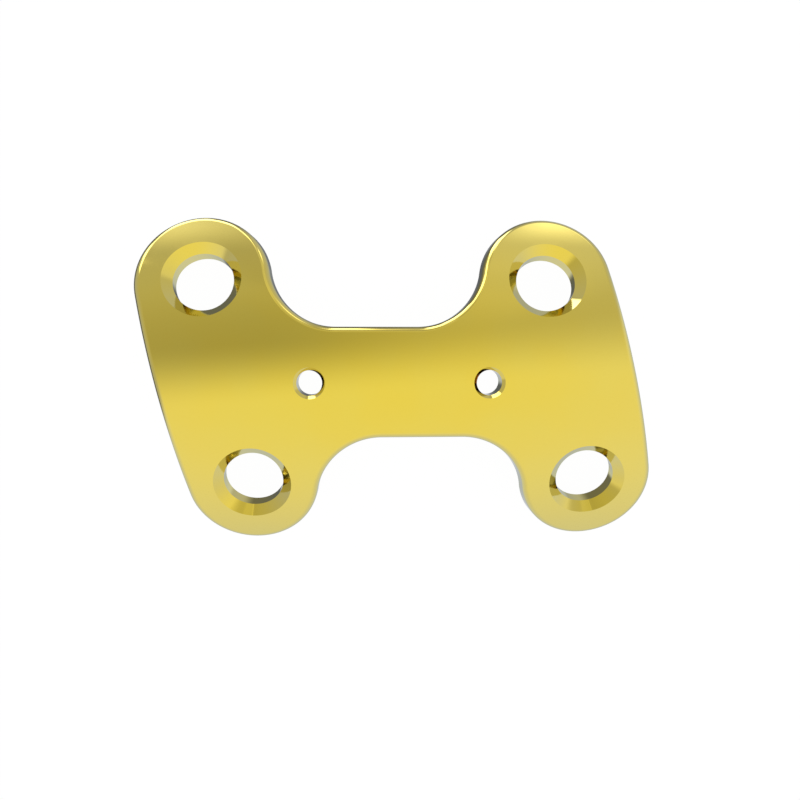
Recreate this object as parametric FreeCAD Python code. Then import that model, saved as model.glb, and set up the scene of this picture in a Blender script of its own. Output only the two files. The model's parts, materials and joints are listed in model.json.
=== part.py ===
import FreeCAD, Part
import math
import os

# Orthopedic bone plate with four chamfered screw holes and two wire holes.
# It is one piece of titanium, with a wall of even thickness curved about the long axis.
# X runs along the plate, Y runs across it, and Z points away from the bone.
# The plate lies on its four ears with the hollow side down, and the origin is on the
# ground under its middle. A half turn about Z brings the plate onto itself.

# outline, seen from above
far_ear_x = 13.1
near_ear_x = 10.05
ear_y = 6.71
ear_radius = 4.47
notch_radius = 4.5
waist_width = 7.44

# section across the plate
face_radius = 22.9
thickness = 1.5
top_edge_radius = 0.45
under_edge_break = 0.12

# screw holes
screw_bore = 4.05
screw_chamfer = 0.61
screw_rim_break = 0.08

# wire holes
wire_hole_x = 6.0
wire_bore = 1.7
wire_chamfer = 0.2

# how far a cutting tool stands clear of the metal
clearance = 2.0

part_name = "bone_plate"

up = FreeCAD.Vector(0, 0, 1)
along = FreeCAD.Vector(1, 0, 0)

half_waist = waist_width / 2
half_length = far_ear_x + ear_radius
half_width = ear_y + ear_radius
under_radius = face_radius - thickness


# the plate is curved about an axis at this height, which sets the ears on the ground:
# an ear's lowest point is where the broken edge at its end meets the under face
ear_end_angle = math.asin(half_width / under_radius)
curve_z = -under_radius * math.cos(ear_end_angle - under_edge_break / under_radius)


def flat(x, y):
    return FreeCAD.Vector(x, y, 0)


def on_circle(centre, radius, angle):
    return centre + flat(radius * math.cos(angle), radius * math.sin(angle))


def heading(start, end):
    return math.atan2(end.y - start.y, end.x - start.x)


def arc_between(centre, radius, start_angle, end_angle):
    middle = on_circle(centre, radius, (start_angle + end_angle) / 2)
    start = on_circle(centre, radius, start_angle)
    end = on_circle(centre, radius, end_angle)
    return Part.Arc(start, middle, end).toShape()


def half_outline():
    """One end edge, two ears and the notch between them, clockwise from the lower left.

    The end edge is a line that touches two ears, and each notch corner is an arc that
    touches an ear and the straight edge of the waist.
    """
    far_ear = flat(-far_ear_x, ear_y)
    near_ear = flat(near_ear_x, ear_y)
    lower_ear = flat(-near_ear_x, -ear_y)

    corner_y = half_waist + notch_radius
    corner_reach = math.sqrt((ear_radius + notch_radius) ** 2 - (corner_y - ear_y) ** 2)
    left_corner = flat(-far_ear_x + corner_reach, corner_y)
    right_corner = flat(near_ear_x - corner_reach, corner_y)

    outward = heading(lower_ear, far_ear) + math.pi / 2
    far_touch = heading(far_ear, left_corner)
    near_touch = heading(near_ear, right_corner)
    bottom = -math.pi / 2

    end_edge = Part.LineSegment(on_circle(lower_ear, ear_radius, outward),
                                on_circle(far_ear, ear_radius, outward)).toShape()
    waist_edge = Part.LineSegment(flat(left_corner.x, half_waist),
                                  flat(right_corner.x, half_waist)).toShape()
    return [
        end_edge,
        arc_between(far_ear, ear_radius, outward, far_touch),
        arc_between(left_corner, notch_radius, far_touch - math.pi, bottom),
        waist_edge,
        arc_between(right_corner, notch_radius, bottom, near_touch - math.pi),
        arc_between(near_ear, ear_radius, near_touch, outward - math.pi),
    ]


def outline_wire():
    edges = half_outline()
    turned = []
    for edge in edges:
        copy = edge.copy()
        copy.rotate(FreeCAD.Vector(0, 0, 0), up, 180)
        turned.append(copy)
    return Part.Wire(edges + turned)


def section_point(radius, angle):
    """A point of the plate's cross-section, its angle measured from upright."""
    return FreeCAD.Vector(0, radius * math.sin(angle), curve_z + radius * math.cos(angle))


def section_arc(radius, half_angle):
    return Part.Arc(section_point(radius, -half_angle), section_point(radius, 0),
                    section_point(radius, half_angle)).toShape()


def section_end(angle):
    return Part.LineSegment(section_point(under_radius, angle),
                            section_point(face_radius, angle)).toShape()


def curved_sheet():
    """The sheet before it is cut to its outline: a wall of even thickness about the long axis."""
    half_angle = math.asin((half_width + clearance) / under_radius)
    section = Part.Wire([section_arc(face_radius, half_angle), section_end(half_angle),
                         section_arc(under_radius, half_angle), section_end(-half_angle)])
    half_sheet = half_length + clearance
    sheet = Part.Face(section).extrude(along * 2 * half_sheet)
    sheet.translate(-along * half_sheet)
    return sheet


def outline_prism():
    """The outline drawn out upwards, from below the ears to above the middle of the plate."""
    prism = Part.Face(outline_wire()).extrude(up * (face_radius + clearance))
    prism.translate(-up * clearance)
    return prism


def distance_from_curve_axis(point):
    return math.hypot(point.y, point.z - curve_z)


def edges_on(shape, radius):
    """The edges that lie wholly on the curved face of this radius."""
    found = []
    for edge in shape.Edges:
        ends = [edge.FirstParameter, edge.LastParameter]
        middle = sum(ends) / 2
        distances = [distance_from_curve_axis(edge.valueAt(t)) for t in ends + [middle]]
        if max(abs(d - radius) for d in distances) < 0.001:
            found.append(edge)
    return found


def plate_blank():
    """The plate without its holes, its upper edge rounded and its lower edge broken."""
    blank = curved_sheet().common(outline_prism())
    rounded = blank.makeFillet(top_edge_radius, edges_on(blank, face_radius))
    return rounded.makeChamfer(under_edge_break, edges_on(rounded, under_radius))


def ear_centres():
    return [flat(-far_ear_x, ear_y), flat(near_ear_x, ear_y),
            flat(far_ear_x, -ear_y), flat(-near_ear_x, -ear_y)]


def wire_hole_centres():
    return [flat(-wire_hole_x, 0), flat(wire_hole_x, 0)]


def square_axis(centre):
    """The line through the middle of the wall at this place, square to the curved faces."""
    middle_radius = (face_radius + under_radius) / 2
    lean = math.asin(centre.y / middle_radius)
    direction = FreeCAD.Vector(0, math.sin(lean), math.cos(lean))
    foot = FreeCAD.Vector(centre.x, 0, curve_z)
    return foot, direction


def drill(centre, bore):
    """A round cutter, square to the faces and clear of them at both ends."""
    foot, direction = square_axis(centre)
    start = foot + direction * (under_radius - clearance)
    return Part.makeCylinder(bore / 2, thickness + 2 * clearance, start, direction)


def rims(plate, centres, bore, radius):
    """The rims that holes of this bore have on the curved face of this radius."""
    found = []
    for edge in edges_on(plate, radius):
        place = edge.valueAt(edge.FirstParameter)
        for centre in centres:
            foot, direction = square_axis(centre)
            from_axis = (place - foot).cross(direction).Length
            if abs(from_axis - bore / 2) < 0.001:
                found.append(edge)
    return found


def bone_plate():
    screw_places = ear_centres()
    wire_places = wire_hole_centres()
    plate = plate_blank()
    for place in screw_places:
        plate = plate.cut(drill(place, screw_bore))
    for place in wire_places:
        plate = plate.cut(drill(place, wire_bore))
    plate = plate.makeChamfer(screw_chamfer, rims(plate, screw_places, screw_bore, face_radius))
    plate = plate.makeChamfer(wire_chamfer, rims(plate, wire_places, wire_bore, face_radius))
    return plate.makeChamfer(screw_rim_break, rims(plate, screw_places, screw_bore, under_radius))


plate = bone_plate()
os.makedirs("parts", exist_ok=True)
plate.exportStep("parts/" + part_name + ".step")
box = plate.optimalBoundingBox(False, False)
print("solids", len(plate.Solids), "valid", plate.isValid(), "faces", len(plate.Faces))
print("volume", round(plate.Volume, 2), "mm3, area", round(plate.Area, 2), "mm2")
print("box", [round(v, 3) for v in (box.XMin, box.YMin, box.ZMin, box.XMax, box.YMax, box.ZMax)])
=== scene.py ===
import json
import math

import bmesh
import bpy
import numpy as np
from mathutils import Matrix, Vector
from mathutils.geometry import delaunay_2d_cdt


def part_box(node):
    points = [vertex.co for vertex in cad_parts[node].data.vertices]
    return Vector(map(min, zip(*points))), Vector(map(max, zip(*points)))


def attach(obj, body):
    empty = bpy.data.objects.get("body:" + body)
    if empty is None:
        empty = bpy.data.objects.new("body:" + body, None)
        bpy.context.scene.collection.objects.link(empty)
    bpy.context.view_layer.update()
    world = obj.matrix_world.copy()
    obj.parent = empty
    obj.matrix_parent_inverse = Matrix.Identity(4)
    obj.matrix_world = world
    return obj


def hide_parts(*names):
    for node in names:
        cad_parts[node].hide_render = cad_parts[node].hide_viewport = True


# A small curved bone plate of gold anodised titanium, polished like a mirror.
# X runs along the plate, Y across it and Z away from the bone. All sizes are in metres.

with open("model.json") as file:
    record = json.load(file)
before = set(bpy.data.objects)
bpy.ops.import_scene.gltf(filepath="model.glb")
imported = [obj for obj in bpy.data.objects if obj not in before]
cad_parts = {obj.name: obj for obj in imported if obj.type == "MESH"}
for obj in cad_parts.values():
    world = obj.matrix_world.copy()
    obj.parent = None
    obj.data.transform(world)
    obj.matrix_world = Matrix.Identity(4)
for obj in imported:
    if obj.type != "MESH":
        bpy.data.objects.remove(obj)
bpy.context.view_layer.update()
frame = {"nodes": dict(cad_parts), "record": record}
print("frame loaded:", ", ".join(frame["nodes"]))


# sizes of the plate. The rest of its outline comes from the frame's box and its holes.

plateForm = {
    "thickness": 0.0015,
    "faceRadius": 0.0229,      # of the curved upper face
    "earRadius": 0.00447,
    "notchRadius": 0.0045,
    "waistWidth": 0.00744,
    "edgeRadius": 0.00045,     # rounding of the upper edge
    "edgeBreak": 0.00012,      # chamfer of the under edge
    "screwChamfer": 0.00061,
    "screwRimBreak": 0.00008,
    "wireChamfer": 0.0002,
}

plateMesh = {
    "outlineStep": 0.00014,    # between two columns of the edge
    "roundRows": 14,           # rows of faces across the rounded edge
    "wallRows": 2,
    "screwSides": 192,
    "wireSides": 96,
    "faceStepAlong": 0.0005,   # grid of the curved faces
    "faceStepAcross": 0.00022,
    "clearOfRims": 0.0001,
    "mergeWithin": 0.000001,
    "pointsWithin": 0.000000001,
}


# small helpers for node trees

class Field:
    # a node's output, so that a formula in a tree reads as one
    def __init__(self, tree, socket):
        self.tree = tree
        self.socket = socket

    def math(self, operation, *others):
        node = self.tree.nodes.new("ShaderNodeMath")
        node.operation = operation
        for place, value in enumerate((self,) + others):
            feed(self.tree, value, node.inputs[place])
        return Field(self.tree, node.outputs[0])

    def __add__(self, other):
        return self.math("ADD", other)

    def __sub__(self, other):
        return self.math("SUBTRACT", other)

    def __rsub__(self, other):
        return (self * -1.0) + other

    def __mul__(self, other):
        return self.math("MULTIPLY", other)

    def __truediv__(self, other):
        return self.math("DIVIDE", other)

    def __neg__(self):
        return self * -1.0

    def root(self):
        return self.math("SQRT")

    def sine(self):
        return self.math("SINE")

    def cosine(self):
        return self.math("COSINE")

    def smooth(self, low, high):
        node = self.tree.nodes.new("ShaderNodeMapRange")
        node.interpolation_type = "SMOOTHSTEP"
        feed(self.tree, self, node.inputs["Value"])
        feed(self.tree, low, node.inputs["From Min"])
        feed(self.tree, high, node.inputs["From Max"])
        return Field(self.tree, node.outputs["Result"])


def feed(tree, value, socket):
    if isinstance(value, Field):
        tree.links.new(value.socket, socket)
    else:
        socket.default_value = value


def addNode(tree, kind, **inputs):
    node = tree.nodes.new(kind)
    for name, value in inputs.items():
        feed(tree, value, node.inputs[name.replace("_", " ")])
    return node


def vector(tree, x, y, z):
    return Field(tree, addNode(tree, "ShaderNodeCombineXYZ", X=x, Y=y, Z=z).outputs[0])


def unit(tree, x, y, z):
    # the vector of length one along x, y, z
    node = tree.nodes.new("ShaderNodeVectorMath")
    node.operation = "NORMALIZE"
    feed(tree, vector(tree, x, y, z), node.inputs[0])
    return Field(tree, node.outputs[0])


def parts(tree, value):
    node = addNode(tree, "ShaderNodeSeparateXYZ", Vector=value)
    return tuple(Field(tree, output) for output in node.outputs)


def newTree(name, inputs):
    # a geometry tree with these named inputs, and the fields that read them
    tree = bpy.data.node_groups.new(name, "GeometryNodeTree")
    tree.interface.new_socket("Geometry", in_out="INPUT", socket_type="NodeSocketGeometry")
    tree.interface.new_socket("Geometry", in_out="OUTPUT", socket_type="NodeSocketGeometry")
    for label, value in inputs.items():
        kind = "NodeSocketInt" if isinstance(value, int) else "NodeSocketFloat"
        tree.interface.new_socket(label, in_out="INPUT", socket_type=kind)
    start = tree.nodes.new("NodeGroupInput")
    return tree, {output.name: Field(tree, output) for output in start.outputs if output.name}


def endTree(tree, geometries, material):
    joined = tree.nodes.new("GeometryNodeJoinGeometry")
    for geometry in geometries:
        tree.links.new(geometry.socket, joined.inputs[0])
    real = tree.nodes.new("GeometryNodeRealizeInstances")
    tree.links.new(joined.outputs[0], real.inputs[0])
    dressed = tree.nodes.new("GeometryNodeSetMaterial")
    dressed.inputs["Material"].default_value = material
    tree.links.new(real.outputs[0], dressed.inputs["Geometry"])
    end = tree.nodes.new("NodeGroupOutput")
    tree.links.new(dressed.outputs[0], end.inputs[0])


def grow(baseMesh, tree, inputs):
    # runs a tree on a mesh and gives the result as a plain mesh
    blank = bpy.data.objects.new(tree.name, baseMesh)
    bpy.context.scene.collection.objects.link(blank)
    modifier = blank.modifiers.new(tree.name, "NODES")
    modifier.node_group = tree
    for item in tree.interface.items_tree:
        if item.in_out == "INPUT" and item.name in inputs:
            modifier[item.identifier] = inputs[item.name]
    evaluated = blank.evaluated_get(bpy.context.evaluated_depsgraph_get())
    grown = bpy.data.meshes.new_from_object(evaluated)
    bpy.data.objects.remove(blank)
    return grown


def keepLead(tree, geometry, lead):
    # writes the direction that the finished surface faces at each corner
    node = tree.nodes.new("GeometryNodeStoreNamedAttribute")
    node.data_type = "FLOAT_VECTOR"
    node.domain = "CORNER"
    node.inputs["Name"].default_value = "lead"
    tree.links.new(geometry.socket, node.inputs["Geometry"])
    feed(tree, lead, node.inputs["Value"])
    return Field(tree, node.outputs["Geometry"])


def setPlace(tree, geometry, place):
    node = tree.nodes.new("GeometryNodeSetPosition")
    tree.links.new(geometry.socket, node.inputs["Geometry"])
    feed(tree, place, node.inputs["Position"])
    return Field(tree, node.outputs["Geometry"])


def strip(tree, columns, rows, shape):
    # a strip of faces, `columns` along and `rows` across. shape(column, share) gives a place
    # and a lead, where share goes from 0 to 1 across the strip.
    grid = addNode(tree, "GeometryNodeMeshGrid", Vertices_X=columns + 1, Vertices_Y=rows + 1)
    index = Field(tree, tree.nodes.new("GeometryNodeInputIndex").outputs[0])
    acrossCount = rows + 1
    column = (index / acrossCount).math("FLOOR")
    share = (index - column * acrossCount) / rows
    place, lead = shape(column, share)
    return setPlace(tree, keepLead(tree, Field(tree, grid.outputs["Mesh"]), lead), place)


# what the frame says

mounts = {mount["name"]: mount for mount in frame["record"]["mounts"]}
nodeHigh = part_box("bone_plate")[1]

underRadius = plateForm["faceRadius"] - plateForm["thickness"]
curveHeight = nodeHigh.z - plateForm["faceRadius"]   # of the axis that the plate is curved about
farEarX = nodeHigh.x - plateForm["earRadius"]
earY = nodeHigh.y - plateForm["earRadius"]
nearEarX = mounts["screw_hole_near_right"]["pos_m"][0]


def holesNamed(word):
    # where the holes' axes cross the curve's axis, how far they lean, and their radius
    holes = []
    for name, mount in mounts.items():
        if name.startswith(word):
            lean = math.atan2(mount["axis"][1], mount["axis"][2])
            radius = mount["dims"]["r_mm"] / 1000
            holes.append({"x": mount["pos_m"][0], "lean": lean, "radius": radius})
    return holes


screwHoles = holesNamed("screw_hole")
wireHoles = holesNamed("wire_hole")


# outline

def halfOutline():
    # one end edge, two ears and the notch between them, clockwise seen from above:
    # each piece as (centre, radius, start angle, end angle), or (start, end) for a line
    ear = plateForm["earRadius"]
    notch = plateForm["notchRadius"]
    farEar = Vector((-farEarX, earY))
    nearEar = Vector((nearEarX, earY))
    lowerEar = Vector((-nearEarX, -earY))

    cornerY = plateForm["waistWidth"] / 2 + notch
    reach = math.sqrt((ear + notch) ** 2 - (cornerY - earY) ** 2)
    leftCorner = Vector((-farEarX + reach, cornerY))
    rightCorner = Vector((nearEarX - reach, cornerY))

    def heading(start, end):
        return math.atan2(end.y - start.y, end.x - start.x)

    def outOf(centre, angle):
        return centre + Vector((math.cos(angle), math.sin(angle))) * ear

    outward = heading(lowerEar, farEar) + math.pi / 2
    farTouch = heading(farEar, leftCorner)
    nearTouch = heading(nearEar, rightCorner)
    waistY = plateForm["waistWidth"] / 2
    bottom = -math.pi / 2
    return [
        (outOf(lowerEar, outward), outOf(farEar, outward)),
        (farEar, ear, outward, farTouch),
        (leftCorner, notch, farTouch - math.pi, bottom),
        (Vector((leftCorner.x, waistY)), Vector((rightCorner.x, waistY))),
        (rightCorner, notch, bottom, nearTouch - math.pi),
        (nearEar, ear, nearTouch, outward - math.pi),
    ]


def outlineColumns():
    # evenly spaced places on the outline, each with the direction out of the plate
    places = []
    for piece in halfOutline():
        if len(piece) == 2:
            start, end = piece
            along = end - start
            steps = max(1, round(along.length / plateMesh["outlineStep"]))
            out = Vector((-along.y, along.x)).normalized()
            for step in range(steps):
                places.append((start + along * step / steps, out))
        else:
            centre, radius, startAngle, endAngle = piece
            turn = (endAngle - startAngle + math.pi) % (2 * math.pi) - math.pi
            if radius == plateForm["earRadius"] and turn > 0:
                turn -= 2 * math.pi
            steps = max(1, round(abs(turn) * radius / plateMesh["outlineStep"]))
            side = -1 if turn > 0 else 1    # a notch corner is hollow
            for step in range(steps):
                angle = startAngle + turn * step / steps
                ray = Vector((math.cos(angle), math.sin(angle)))
                places.append((centre + ray * radius, ray * side))
    turned = [(-place, -out) for place, out in places]
    return places + turned


def roundedRim(columns):
    # where the rounded edge meets the curved face, seen from above
    radius = plateForm["edgeRadius"]
    face = plateForm["faceRadius"]
    rim = []
    for place, out in columns:
        ball = place - out * radius
        rim.append((ball.x, ball.y * face / (face - radius)))
    return rim


def brokenRim(columns):
    # where the broken edge meets the under face, seen from above
    rim = []
    for place, out in columns:
        slope = place.y / math.sqrt(underRadius ** 2 - place.y ** 2)
        inset = plateForm["edgeBreak"] / math.sqrt(1 + (out.y * slope) ** 2)
        rim.append(tuple(place - out * inset))
    return rim


def holeRim(hole, radius, surface, sides):
    # a hole's rim on a curved face, seen from above
    rim = []
    for side in range(sides):
        angle = 2 * math.pi * side / sides
        across = radius * math.sin(angle)
        height = math.sqrt(surface ** 2 - across ** 2)
        y = across * math.cos(hole["lean"]) + height * math.sin(hole["lean"])
        rim.append((hole["x"] + radius * math.cos(angle), y))
    return rim


# curved faces

def flatSheet(name, rims):
    # a flat mesh inside the first rim and outside the others, which go anticlockwise, with
    # rows along the plate, because the plate is curved only across them
    points = [Vector(point) for rim in rims for point in rim]
    loops = []
    start = 0
    for rim in rims:
        loops.append(list(range(start, start + len(rim))))
        start += len(rim)

    rimPoints = np.array([point[:] for point in points])
    alongCount = round(2 * nodeHigh.x / plateMesh["faceStepAlong"])
    acrossCount = round(2 * nodeHigh.y / plateMesh["faceStepAcross"])
    for x in np.linspace(-nodeHigh.x, nodeHigh.x, alongCount + 1):
        for y in np.linspace(-nodeHigh.y, nodeHigh.y, acrossCount + 1):
            nearest = np.hypot(rimPoints[:, 0] - x, rimPoints[:, 1] - y).min()
            if nearest > plateMesh["clearOfRims"]:
                points.append(Vector((x, y)))

    insideWithHoles = 2
    found = delaunay_2d_cdt(points, [], loops, insideWithHoles, plateMesh["pointsWithin"])
    flat = bpy.data.meshes.new(name)
    flat.from_pydata([(p.x, p.y, 0) for p in found[0]], [], found[2])
    return flat


def bendTree(material):
    # lays a flat sheet on a round face about the plate's long axis
    inputs = {"Radius": 0.0, "Curve Height": 0.0, "Facing": 1.0}
    tree, given = newTree("bentFace", inputs)
    x, y, _ = parts(tree, Field(tree, tree.nodes.new("GeometryNodeInputPosition").outputs[0]))
    rise = (given["Radius"] * given["Radius"] - y * y).root()
    bent = setPlace(tree, given["Geometry"], vector(tree, x, y, rise + given["Curve Height"]))
    _, ny, nz = parts(tree, Field(tree, tree.nodes.new("GeometryNodeInputPosition").outputs[0]))
    outwards = given["Facing"] / given["Radius"]
    lead = vector(tree, 0.0, ny * outwards, (nz - given["Curve Height"]) * outwards)
    endTree(tree, [keepLead(tree, bent, lead)], material)
    return tree


# rounded edge, wall and broken edge, which follow the outline

def edgeTree(material):
    inputs = {"Face Radius": 0.0, "Under Radius": 0.0, "Curve Height": 0.0,
              "Edge Radius": 0.0, "Edge Break": 0.0, "Columns": 1, "Round Rows": 1, "Wall Rows": 1}
    tree, given = newTree("edgeBand", inputs)
    columns = given["Columns"]
    curveZ = given["Curve Height"]
    ballRadius = given["Edge Radius"]
    ballPath = given["Face Radius"] - ballRadius
    underRadiusIn = given["Under Radius"]

    def outlineAt(column, what):
        # the outline's place or outward direction at this column, the last being the first again
        sample = tree.nodes.new("GeometryNodeSampleIndex")
        sample.data_type = "FLOAT_VECTOR"
        tree.links.new(given["Geometry"].socket, sample.inputs["Geometry"])
        tree.links.new(what, sample.inputs["Value"])
        feed(tree, column.math("MODULO", columns), sample.inputs["Index"])
        x, y, _ = parts(tree, Field(tree, sample.outputs["Value"]))
        return x, y

    outward = tree.nodes.new("GeometryNodeInputNamedAttribute")
    outward.data_type = "FLOAT_VECTOR"
    outward.inputs["Name"].default_value = "outward"
    position = tree.nodes.new("GeometryNodeInputPosition")

    def edgeAt(column):
        x, y = outlineAt(column, position.outputs[0])
        outX, outY = outlineAt(column, outward.outputs["Attribute"])
        return x, y, outX, outY

    def ballHeight(y, outY):
        ballY = y - outY * ballRadius
        return ballY, (ballPath * ballPath - ballY * ballY).root()

    def underHeight(y):
        return (underRadiusIn * underRadiusIn - y * y).root()

    def wallFoot(y, outX):
        rise = underHeight(y)
        slope = outX * y / rise
        return rise + given["Edge Break"] * (slope * slope + 1.0).root()

    def roundedEdge(column, share):
        # a ball rolled along inside the edge touches the face and the wall
        x, y, outX, outY = edgeAt(column)
        ballY, rise = ballHeight(y, outY)
        faceY, faceZ = ballY / ballPath, rise / ballPath
        between = (outY * faceY).math("ARCCOSINE")
        toFace = ((1.0 - share) * between).sine() / between.sine()
        toWall = (share * between).sine() / between.sine()
        lead = (outX * toWall, outY * toWall + faceY * toFace, faceZ * toFace)
        ball = (x - outX * ballRadius, ballY, rise + curveZ)
        place = [centre + ray * ballRadius for centre, ray in zip(ball, lead)]
        return vector(tree, *place), vector(tree, *lead)

    def wall(column, share):
        x, y, outX, outY = edgeAt(column)
        top = ballHeight(y, outY)[1]
        foot = wallFoot(y, outX)
        return vector(tree, x, y, top + (foot - top) * share + curveZ), vector(tree, outX, outY, 0.0)

    def brokenEdge(column, share):
        x, y, outX, outY = edgeAt(column)
        slope = outY * y / underHeight(y)
        inset = given["Edge Break"] / (slope * slope + 1.0).root()
        foot = wallFoot(y, outX)
        rimY = y - outY * inset
        drop = underHeight(rimY) - foot
        place = vector(tree, x - outX * inset * share, y - outY * inset * share,
                       foot + drop * share + curveZ)
        underY, underZ = rimY / underRadiusIn, underHeight(rimY) / underRadiusIn
        return place, unit(tree, outX, outY - underY, -underZ)

    strips = [
        strip(tree, columns, given["Round Rows"], roundedEdge),
        strip(tree, columns, given["Wall Rows"], wall),
        strip(tree, columns, 1, brokenEdge),
    ]
    endTree(tree, strips, material)
    return tree


# holes: a chamfered mouth, a bore and a broken rim below

def holeTree(material):
    inputs = {"Bore Radius": 0.0, "Chamfer": 0.0, "Rim Break": 0.0, "Face Radius": 0.0,
              "Under Radius": 0.0, "Sides": 3}
    tree, given = newTree("holeBand", inputs)
    bore = given["Bore Radius"]

    def ring(surface, radius, offset):
        # a ring round the hole's axis at this offset from a curved face: its radius, height
        # and slope round the ring, at an angle
        def at(angle):
            across = radius * angle.sine()
            rise = (surface * surface - across * across).root()
            slope = (across * radius * angle.cosine()) / rise * -1.0
            return radius, rise + offset, slope
        return at

    def between(upper, lower):
        def shape(column, share):
            angle = column * (2 * math.pi) / given["Sides"]
            radiusA, heightA, slopeA = upper(angle)
            radiusB, heightB, slopeB = lower(angle)
            widening = radiusB - radiusA
            drop = heightB - heightA
            radius = radiusA + widening * share
            slope = slopeA + (slopeB - slopeA) * share
            cosine, sine = angle.cosine(), angle.sine()
            place = vector(tree, radius * cosine, radius * sine, heightA + drop * share)
            lead = unit(tree, radius * drop * cosine - slope * widening * sine,
                        radius * drop * sine + slope * widening * cosine,
                        radius * widening * -1.0)
            return place, lead
        return strip(tree, given["Sides"], 1, shape)

    mouth = ring(given["Face Radius"], bore + given["Chamfer"], 0.0)
    boreTop = ring(given["Face Radius"], bore, given["Chamfer"] * -1.0)
    boreFoot = ring(given["Under Radius"], bore, given["Rim Break"])
    underRim = ring(given["Under Radius"], bore + given["Rim Break"], 0.0)
    joined = tree.nodes.new("GeometryNodeJoinGeometry")
    for band in (between(mouth, boreTop), between(boreTop, boreFoot), between(boreFoot, underRim)):
        tree.links.new(band.socket, joined.inputs[0])

    lean = tree.nodes.new("GeometryNodeInputNamedAttribute")
    lean.data_type = "FLOAT"
    lean.inputs["Name"].default_value = "lean"
    turn = vector(tree, Field(tree, lean.outputs["Attribute"]) * -1.0, 0.0, 0.0)
    holes = tree.nodes.new("GeometryNodeInstanceOnPoints")
    tree.links.new(given["Geometry"].socket, holes.inputs["Points"])
    tree.links.new(joined.outputs[0], holes.inputs["Instance"])
    tree.links.new(turn.socket, holes.inputs["Rotation"])
    endTree(tree, [Field(tree, holes.outputs[0])], material)
    return tree


def pointMesh(name, places, attribute, kind, values):
    mesh = bpy.data.meshes.new(name)
    mesh.from_pydata(places, [], [])
    data = mesh.attributes.new(attribute, kind, "POINT").data
    for item, value in zip(data, values):
        if kind == "FLOAT_VECTOR":
            item.vector = value
        else:
            item.value = value
    return mesh


# every hole of the plate: which holes, chamfer, broken rim below, and sides

holeKinds = [
    (screwHoles, plateForm["screwChamfer"], plateForm["screwRimBreak"], plateMesh["screwSides"]),
    (wireHoles, plateForm["wireChamfer"], 0.0, plateMesh["wireSides"]),
]


def plateBands(material):
    columns = outlineColumns()
    mouths = []
    underRims = []
    for holes, chamfer, rimBreak, sides in holeKinds:
        for hole in holes:
            radius = hole["radius"]
            mouths.append(holeRim(hole, radius + chamfer, plateForm["faceRadius"], sides))
            underRims.append(holeRim(hole, radius + rimBreak, underRadius, sides))

    bend = bendTree(material)
    upper = grow(flatSheet("upperSheet", [roundedRim(columns)[::-1]] + mouths), bend,
                 {"Radius": plateForm["faceRadius"], "Curve Height": curveHeight, "Facing": 1.0})
    under = grow(flatSheet("underSheet", [brokenRim(columns)[::-1]] + underRims), bend,
                 {"Radius": underRadius, "Curve Height": curveHeight, "Facing": -1.0})
    print("curved faces:", len(upper.polygons), "above and", len(under.polygons), "below")

    outline = pointMesh("outline", [(p.x, p.y, 0) for p, _ in columns], "outward",
                        "FLOAT_VECTOR", [(o.x, o.y, 0) for _, o in columns])
    edge = grow(outline, edgeTree(material), {
        "Face Radius": plateForm["faceRadius"], "Under Radius": underRadius,
        "Curve Height": curveHeight, "Edge Radius": plateForm["edgeRadius"],
        "Edge Break": plateForm["edgeBreak"], "Columns": len(columns),
        "Round Rows": plateMesh["roundRows"], "Wall Rows": plateMesh["wallRows"]})
    print("edge:", len(columns), "columns and", len(edge.polygons), "faces")

    holeBand = holeTree(material)
    bands = [upper, under, edge]
    for holes, chamfer, rimBreak, sides in holeKinds:
        feet = pointMesh("holeFeet", [(hole["x"], 0, curveHeight) for hole in holes], "lean",
                         "FLOAT", [hole["lean"] for hole in holes])
        bands.append(grow(feet, holeBand, {
            "Bore Radius": holes[0]["radius"], "Chamfer": chamfer, "Rim Break": rimBreak,
            "Face Radius": plateForm["faceRadius"], "Under Radius": underRadius, "Sides": sides}))
        print("holes:", len(holes), "with", len(bands[-1].polygons), "faces")
    return bands


def weldBands(name, bands, material):
    # joins the bands into one closed skin, and shades it by the leads they carry
    skin = bmesh.new()
    for band in bands:
        skin.from_mesh(band)
    bmesh.ops.remove_doubles(skin, verts=skin.verts, dist=plateMesh["mergeWithin"])
    loose = [vertex for vertex in skin.verts if not vertex.link_faces]
    bmesh.ops.delete(skin, geom=loose, context="VERTS")
    bmesh.ops.recalc_face_normals(skin, faces=skin.faces)
    mesh = bpy.data.meshes.new(name)
    skin.to_mesh(mesh)
    skin.free()
    mesh.materials.clear()
    mesh.materials.append(material)
    mesh.shade_smooth()

    lead = mesh.attributes["lead"]
    ways = np.zeros(len(mesh.loops) * 3)
    lead.data.foreach_get("vector", ways)
    mesh.normals_split_custom_set(ways.reshape(-1, 3))
    mesh.attributes.remove(lead)
    return mesh


# material: anodised titanium, polished

anodising = {
    "gold": (0.815, 0.624, 0.071, 1.0),        # seen square on
    "thinnerFilm": (0.804, 0.628, 0.08, 1.0),  # in faint clouds
    "glancing": (0.608, 0.662, 0.493, 1.0),    # the film pales to steel grey at a low angle
    "edgeTint": (0.615, 0.637, 0.715, 1.0),    # of the mirror light at the lowest angles
    "facingBlend": 0.5,                        # how soon it pales as the angle gets lower
    "cloudScale": 260.0,                       # clouds a few millimetres wide
    "cloudDetail": 2.0,
    "cloudEdges": (0.3, 0.7),
    "polishScale": 1500.0,                     # ripple of the polish, under a millimetre wide
    "polishDetail": 3.0,
    "rippleHeight": 0.0000003,
    "roughness": (0.045, 0.07),
}


def mixColours(tree, share, first, second):
    node = tree.nodes.new("ShaderNodeMix")
    node.data_type = "RGBA"
    feed(tree, share, node.inputs["Factor"])
    firstSocket, secondSocket = [socket for socket in node.inputs if socket.type == "RGBA"]
    feed(tree, first, firstSocket)
    feed(tree, second, secondSocket)
    return Field(tree, node.outputs["Result"])


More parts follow.
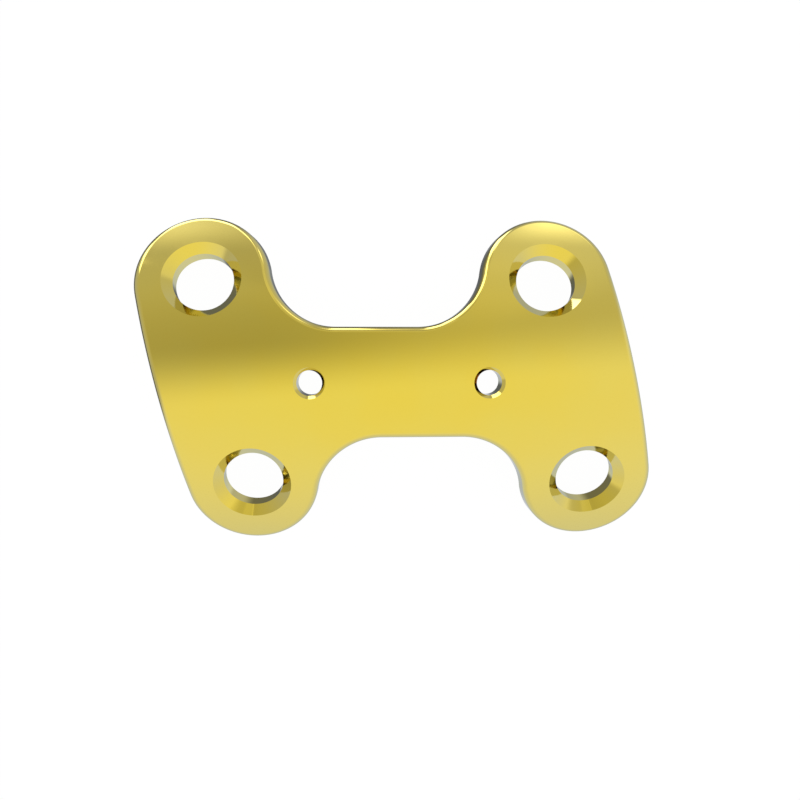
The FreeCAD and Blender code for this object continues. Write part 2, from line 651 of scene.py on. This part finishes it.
def anodisedTitanium():
    material = bpy.data.materials.new("anodisedTitanium")
    material.use_nodes = True
    tree = material.node_tree
    surface = tree.nodes["Principled BSDF"]
    surface.inputs["Metallic"].default_value = 1.0
    surface.inputs["Specular Tint"].default_value = anodising["edgeTint"]
    place = tree.nodes.new("ShaderNodeTexCoord").outputs["Object"]

    def cloud(scale, detail):
        noise = addNode(tree, "ShaderNodeTexNoise", Scale=scale, Detail=detail)
        tree.links.new(place, noise.inputs["Vector"])
        return Field(tree, noise.outputs["Fac"])

    clouds = cloud(anodising["cloudScale"], anodising["cloudDetail"])
    film = mixColours(tree, clouds.smooth(*anodising["cloudEdges"]),
                      anodising["gold"], anodising["thinnerFilm"])
    glance = addNode(tree, "ShaderNodeLayerWeight", Blend=anodising["facingBlend"])
    colour = mixColours(tree, Field(tree, glance.outputs["Facing"]), film, anodising["glancing"])
    feed(tree, colour, surface.inputs["Base Color"])

    ripple = cloud(anodising["polishScale"], anodising["polishDetail"])
    low, high = anodising["roughness"]
    feed(tree, ripple * (high - low) + low, surface.inputs["Roughness"])
    bump = addNode(tree, "ShaderNodeBump", Strength=1.0, Height=ripple)
    bump.inputs["Distance"].default_value = anodising["rippleHeight"]
    feed(tree, Field(tree, bump.outputs["Normal"]), surface.inputs["Normal"])
    return material


# floor and light

studio = {
    "floorSize": 2.0,
    "floorGlow": 0.97,             # share of the floor's white that no shadow dims
    "floorLevel": 1.01,            # of that share
    "tentRadius": 3.0,
    "tentSubdivisions": 4,
    # a dim half of the tent: its azimuth in degrees from +X towards +Y, where its edge lies
    # and how soft that is, as shares of the tent's radius, each for low down and high up
    "dimAzimuth": (112.0, 109.7),
    "dimEdge": (0.04, 0.077),
    "dimSoftness": (0.09, 0.216),
    # levels of light at -X and at +X
    "dimHighUp": (0.472, 0.64),
    "dimMidway": (0.592, 0.648),
    "dimBelow": (0.211, 0.64),
    # levels of the bright half: high up, at the horizon and below
    "bright": (1.003, 0.86, 0.92),
    # where one level passes into the next, as shares of the tent's radius: along X
    "leftToRight": (-0.2, 0.2),
    "leftToRightBelow": (-0.1, 0.35),
    # and in height
    "edgeToHighUp": (0.4, 0.9),
    "belowToMidway": (-0.2, -0.1),
    "midwayToHighUp": (0.75, 0.98),
    "leanOut": (0.12, 0.22),
    "brightToHighUp": (0.1, 0.8),
    "brightToBelow": (0.3, 0.7),
}

# lights and dark gaps on the dim half, each drawn over the ones before it: level, azimuth
# from and to with its softness, height from and to with the softness of each, and how many
# degrees the far side leans out higher up, where it does
tentLights = [
    {"level": 0.745, "azimuth": (60.0, 98.0, 6.0), "height": (0.26, 0.88, 0.08, 0.08)},
    {"level": 0.79, "azimuth": (66.0, 80.0, 4.0), "height": (0.45, 0.72, 0.06, 0.06)},
    {"level": 0.535, "azimuth": (79.0, 107.3, 3.0), "height": (-0.2, 0.79, 0.08, 0.05)},
    {"level": 0.8, "azimuth": (80.5, 83.5, 1.5), "height": (0.5, 0.78, 0.05, 0.05)},
    {"level": 0.9, "azimuth": (96.0, 99.0, 1.5), "height": (0.5, 0.85, 0.05, 0.05)},
    {"level": 2.05, "azimuth": (63.7, 76.5, 4.0), "height": (0.27, 0.42, 0.03, 0.13)},
    {"level": 1.5, "azimuth": (87.0, 95.0, 3.5), "height": (0.2, 0.48, 0.05, 0.05)},
    {"level": 1.36, "azimuth": (105.0, 128.0, 12.0), "height": (0.25, 0.492, 0.03, 0.11)},
    {"level": 3.0, "azimuth": (91.0, 105.5, 2.0), "height": (-0.11, 0.34, 0.05, 0.025)},
    {"level": 3.0, "azimuth": (102.0, 121.5, 2.0), "height": (-0.3, 0.34, 0.015, 0.025),
     "lean": 12.0},
    {"level": 3.0, "azimuth": (90.5, 99.0, 2.0), "height": (0.3, 0.44, 0.03, 0.03)},
    {"level": 3.0, "azimuth": (116.5, 132.0, 2.0), "height": (0.3, 0.635, 0.03, 0.02)},
]


def stagePiece(name, mesh, material):
    mesh.materials.append(material)
    piece = bpy.data.objects.new(name, mesh)
    bpy.context.scene.collection.objects.link(piece)
    return piece


def emptyMaterial(name):
    material = bpy.data.materials.new(name)
    material.use_nodes = True
    tree = material.node_tree
    tree.nodes.remove(tree.nodes["Principled BSDF"])
    return material, tree, tree.nodes["Material Output"].inputs["Surface"]


def studioFloor():
    half = studio["floorSize"] / 2
    mesh = bpy.data.meshes.new("floor")
    corners = [(-half, -half, 0), (half, -half, 0), (half, half, 0), (-half, half, 0)]
    mesh.from_pydata(corners, [], [(0, 1, 2, 3)])
    material, tree, surface = emptyMaterial("floorWhite")
    matt = addNode(tree, "ShaderNodeBsdfDiffuse", Color=(1.0, 1.0, 1.0, 1.0))
    glow = addNode(tree, "ShaderNodeEmission", Strength=studio["floorLevel"])
    mix = addNode(tree, "ShaderNodeMixShader", Fac=studio["floorGlow"])
    tree.links.new(matt.outputs[0], mix.inputs[1])
    tree.links.new(glow.outputs[0], mix.inputs[2])
    tree.links.new(mix.outputs[0], surface)
    floor = stagePiece("floor", mesh, material)
    floor.visible_glossy = False


def studioTent():
    # a round tent of light about the plate, bright in front and dim behind
    shell = bmesh.new()
    bmesh.ops.create_icosphere(shell, subdivisions=studio["tentSubdivisions"],
                               radius=studio["tentRadius"])
    mesh = bpy.data.meshes.new("tent")
    shell.to_mesh(mesh)
    shell.free()
    material, tree, surface = emptyMaterial("tentLight")
    place = Field(tree, tree.nodes.new("ShaderNodeTexCoord").outputs["Object"])
    x, y, z = parts(tree, unit(tree, *parts(tree, place)))
    azimuth = y.math("ARCTAN2", x).math("DEGREES")
    right = x.smooth(*studio["leftToRight"])
    rightBelow = x.smooth(*studio["leftToRightBelow"])
    highUp = z.smooth(*studio["edgeToHighUp"])

    def between(pair, share):
        return share * (pair[1] - pair[0]) + pair[0]

    def window(value, low, high, lowSoftness, highSoftness):
        rising = value.smooth(low - lowSoftness, low + lowSoftness)
        return rising * (1.0 - value.smooth(high - highSoftness, high + highSoftness))

    edges = []
    for degrees, edge in zip(studio["dimAzimuth"], studio["dimEdge"]):
        facing = math.radians(degrees)
        edges.append(x * math.cos(facing) + y * math.sin(facing) - edge)
    softness = between(studio["dimSoftness"], highUp)
    inside = (edges[0] + (edges[1] - edges[0]) * highUp) / softness
    dim = inside.smooth(-1.0, 1.0)

    below = between(studio["dimBelow"], rightBelow)
    midway = between(studio["dimMidway"], right)
    top = between(studio["dimHighUp"], right)
    dimLevel = below + (midway - below) * z.smooth(*studio["belowToMidway"])
    dimLevel = dimLevel + (top - midway) * z.smooth(*studio["midwayToHighUp"])
    leanOut = z.smooth(*studio["leanOut"])
    for light in tentLights:
        low, high, softness = light["azimuth"]
        farSide = leanOut * light.get("lean", 0.0) + high
        inLight = window(azimuth, low, farSide, softness, softness) * window(z, *light["height"])
        dimLevel = dimLevel + (light["level"] - dimLevel) * inLight

    up, horizon, down = studio["bright"]
    brightLevel = z.smooth(*studio["brightToHighUp"]) * (up - horizon) + horizon
    brightLevel = brightLevel + (-z).smooth(*studio["brightToBelow"]) * (down - horizon)
    level = brightLevel + (dimLevel - brightLevel) * dim
    glow = addNode(tree, "ShaderNodeEmission", Strength=level)
    tree.links.new(glow.outputs[0], surface)
    tent = stagePiece("tent", mesh, material)
    tent.visible_camera = False


def whiteWorld():
    world = bpy.data.worlds.new("white")
    bpy.context.scene.world = world
    world.use_nodes = True
    background = world.node_tree.nodes["Background"]
    background.inputs["Color"].default_value = (1.0, 1.0, 1.0, 1.0)
    background.inputs["Strength"].default_value = 1.0


# camera, nearly straight above the plate and close to it

cameraView = {
    "place": (-0.001822, 0.002772, 0.046333),
    "aim": (-0.000007, -0.001114, 0.004694),
    "lens": 28.455,
    "sensor": 36.0,
    "clipStart": 0.001,
    "clipEnd": 10.0,
}


def photoCamera():
    data = bpy.data.cameras.new("camera")
    data.lens = cameraView["lens"]
    data.sensor_width = cameraView["sensor"]
    data.clip_start = cameraView["clipStart"]
    data.clip_end = cameraView["clipEnd"]
    camera = bpy.data.objects.new("camera", data)
    bpy.context.scene.collection.objects.link(camera)
    place = Vector(cameraView["place"])
    back = (place - Vector(cameraView["aim"])).normalized()
    right = Vector((0, 1, 0)).cross(back).normalized()
    turn = Matrix((right, back.cross(right), back)).transposed()
    camera.matrix_world = Matrix.Translation(place) @ turn.to_4x4()
    bpy.context.scene.camera = camera


titanium = anodisedTitanium()
plate = bpy.data.objects.new("plate", weldBands("plate", plateBands(titanium), titanium))
bpy.context.scene.collection.objects.link(plate)
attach(plate, "root")
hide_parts("bone_plate")
print("plate:", len(plate.data.polygons), "faces")

studioFloor()
studioTent()
whiteWorld()
photoCamera()
bpy.context.scene.view_settings.view_transform = "Standard"
print("studio: floor, tent with", len(tentLights), "lights, white world and camera")
